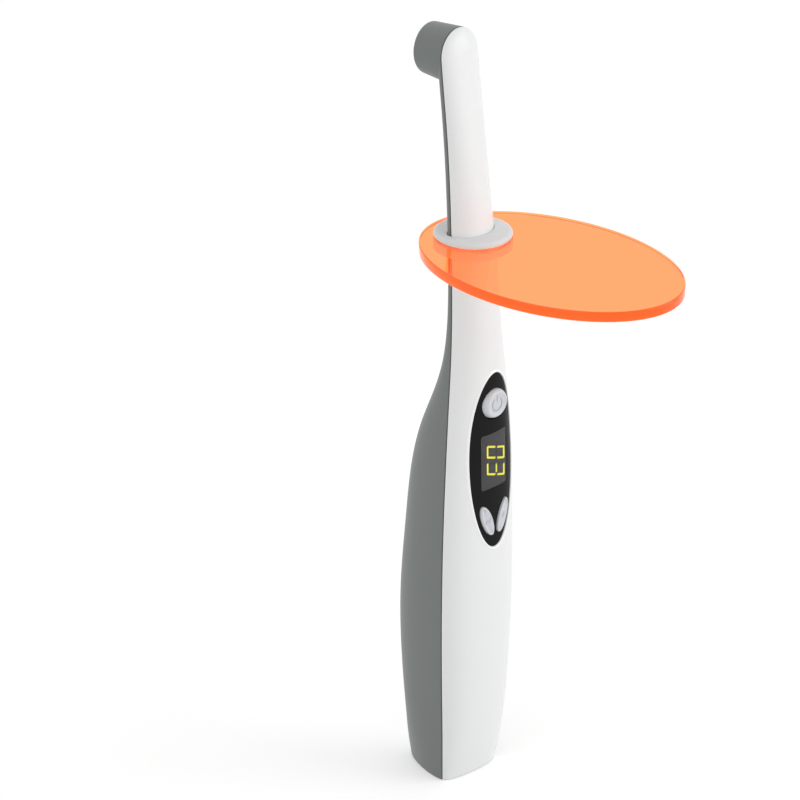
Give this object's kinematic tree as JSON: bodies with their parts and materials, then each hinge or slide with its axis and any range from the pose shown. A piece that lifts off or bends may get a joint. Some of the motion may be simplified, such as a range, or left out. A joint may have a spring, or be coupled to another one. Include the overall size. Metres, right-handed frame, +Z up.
{
  "type": "dental curing light",
  "caption": "Cordless pen-style curing light with a side-facing light head, front control panel, tail charging contacts and a sliding oval eye shield.",
  "frame": {"origin": "midway between the two charging contacts, in the flat tail face that the light stands on in its charger", "axes": "+Z up along the handle towards the head, -Y out of the control panel, +Y the way the light head points, +X to the right seen from the panel's side"},
  "size_m": [0.056, 0.0921, 0.2202],
  "materials": {
    "white_shell": "satin white moulded shell",
    "grey_shell": "satin grey moulded shell",
    "panel_black": "gloss black panel plate",
    "window_smoke": "smoked clear window",
    "module_grey": "grey face of the display module",
    "lit_segment": "lit yellow segments",
    "dark_segment": "unlit segments",
    "button_silver": "silver-grey translucent button",
    "switch_black": "black moulded switch part",
    "board_green": "green circuit board",
    "chip_black": "black chip package",
    "capacitor_tan": "tan ceramic body",
    "screw_steel": "plain steel",
    "cell_wrap": "metal can in a plain blue sleeve",
    "tab_nickel": "nickel strip",
    "contact_gold": "gold-plated contact",
    "heat_aluminium": "machined aluminium",
    "board_white": "white-faced metal-core board",
    "emitter": "emitter with its clear dome",
    "reflector_mirror": "mirror-coated reflector",
    "lens_glass": "clear glass lens",
    "seal_rubber": "black seal",
    "lead_red": "red lead",
    "lead_black": "black lead",
    "shield_orange": "orange transparent acrylic",
    "collar_silicone": "light grey silicone"
  },
  "bodies": {
    "handpiece": {"front_shell": "white_shell", "back_shell": "grey_shell", "control_panel": "panel_black", "display_window": "window_smoke", "display_module": "module_grey", "lit_bars": "lit_segment", "dark_bars": "dark_segment", "power_switch": "switch_black", "mode_switch": "switch_black", "time_switch": "switch_black", "main_board": "board_green", "board_screws": "screw_steel", "controller_chip": "chip_black", "driver_inductor": "chip_black", "capacitors": "capacitor_tan", "buzzer": "switch_black", "battery_cell": "cell_wrap", "positive_tab": "tab_nickel", "negative_tab": "tab_nickel", "contact_plate": "switch_black", "charge_contacts": "contact_gold", "charge_board": "board_green", "heat_sink": "heat_aluminium", "led_board": "board_white", "led_emitter": "emitter", "reflector": "reflector_mirror", "lens": "lens_glass", "lens_seal": "seal_rubber", "light_lead_red": "lead_red", "light_lead_black": "lead_black", "cell_lead_red": "lead_red", "cell_lead_black": "lead_black", "charge_leads": "lead_black"},
    "shield": {"shield_disc": "shield_orange", "shield_collar": "collar_silicone"},
    "power": {"power_button": "button_silver", "power_plunger": "switch_black"},
    "mode": {"mode_button": "button_silver", "mode_plunger": "switch_black"},
    "time": {"time_button": "button_silver", "time_plunger": "switch_black"}
  },
  "joints": [
    {"name": "shield_slide", "type": "slide", "parent": "handpiece", "child": "shield", "axis": [0, 0.0872, 0.9962], "range_m": [0, 0.038]},
    {"name": "power_press", "type": "slide", "parent": "handpiece", "child": "power", "axis": [0, 1, 0], "range_m": [0, 0.0004], "stiffness_N_per_m": 4000, "springref_m": -0.0002},
    {"name": "mode_press", "type": "slide", "parent": "handpiece", "child": "mode", "axis": [0, 1, 0], "range_m": [0, 0.0004], "stiffness_N_per_m": 4000, "springref_m": -0.0002},
    {"name": "time_press", "type": "slide", "parent": "handpiece", "child": "time", "axis": [0, 1, 0], "range_m": [0, 0.0004], "stiffness_N_per_m": 4000, "springref_m": -0.0002}
  ]
}
